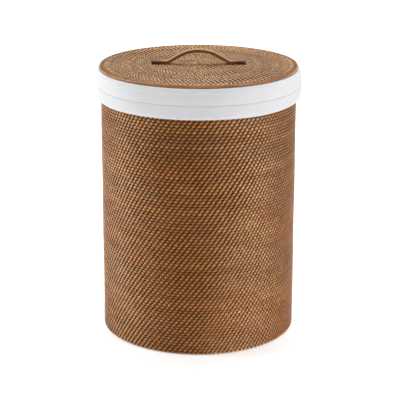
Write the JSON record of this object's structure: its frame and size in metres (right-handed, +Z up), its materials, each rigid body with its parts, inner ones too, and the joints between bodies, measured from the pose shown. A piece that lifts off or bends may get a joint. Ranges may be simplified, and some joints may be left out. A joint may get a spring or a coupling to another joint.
{
  "type": "woven laundry basket",
  "caption": "Tall round coiled-rattan laundry basket with a lift-out cotton liner folded over the rim and a flat woven lift-off lid with an arched strap handle.",
  "frame": {"origin": "centre of the basket's underside, at floor level", "axes": "+Z up; the lid's handle runs along X; the liner's upright seam is at +Y, the back"},
  "size_m": [0.414, 0.414, 0.588],
  "materials": {
    "cane_core": "matt round cane, brown",
    "lashing": "satin split rattan, mixed browns",
    "lid_lashing": "satin split rattan, light tan",
    "peeled_cane": "smooth varnished peeled cane",
    "strap": "smooth varnished bent cane strap",
    "cotton": "plain woven cotton, white",
    "thread": "cotton thread, white",
    "steel": "plain steel"
  },
  "bodies": {
    "basket": {"wall_coil": "cane_core", "wall_lashing": "lashing", "rim_hoop": "cane_core", "rim_lashing": "lashing", "base_coil": "cane_core", "base_lashing": "lashing"},
    "liner": {"liner_side": "cotton", "liner_base": "cotton", "liner_fold": "cotton", "liner_cuff": "cotton", "liner_hem": "cotton", "hem_stitching": "thread", "base_seam": "cotton", "side_seam": "cotton", "seam_stitching": "thread", "cuff_seam": "cotton"},
    "lid": {"lid_coil": "cane_core", "lid_lashing": "lid_lashing", "lid_outer_hoop": "peeled_cane", "lid_inner_hoop": "peeled_cane", "hoop_nails": "steel", "locating_ring": "cane_core", "ring_lashing": "lid_lashing", "handle_strap": "strap", "handle_screws": "steel", "handle_washers": "steel"}
  },
  "joints": [
    {"name": "liner_lift", "type": "slide", "parent": "basket", "child": "liner", "axis": [0, 0, 1], "range_m": [0, 0.56]},
    {"name": "lid_lift", "type": "slide", "parent": "liner", "child": "lid", "axis": [0, 0, 1], "range_m": [0, 0.2]}
  ]
}
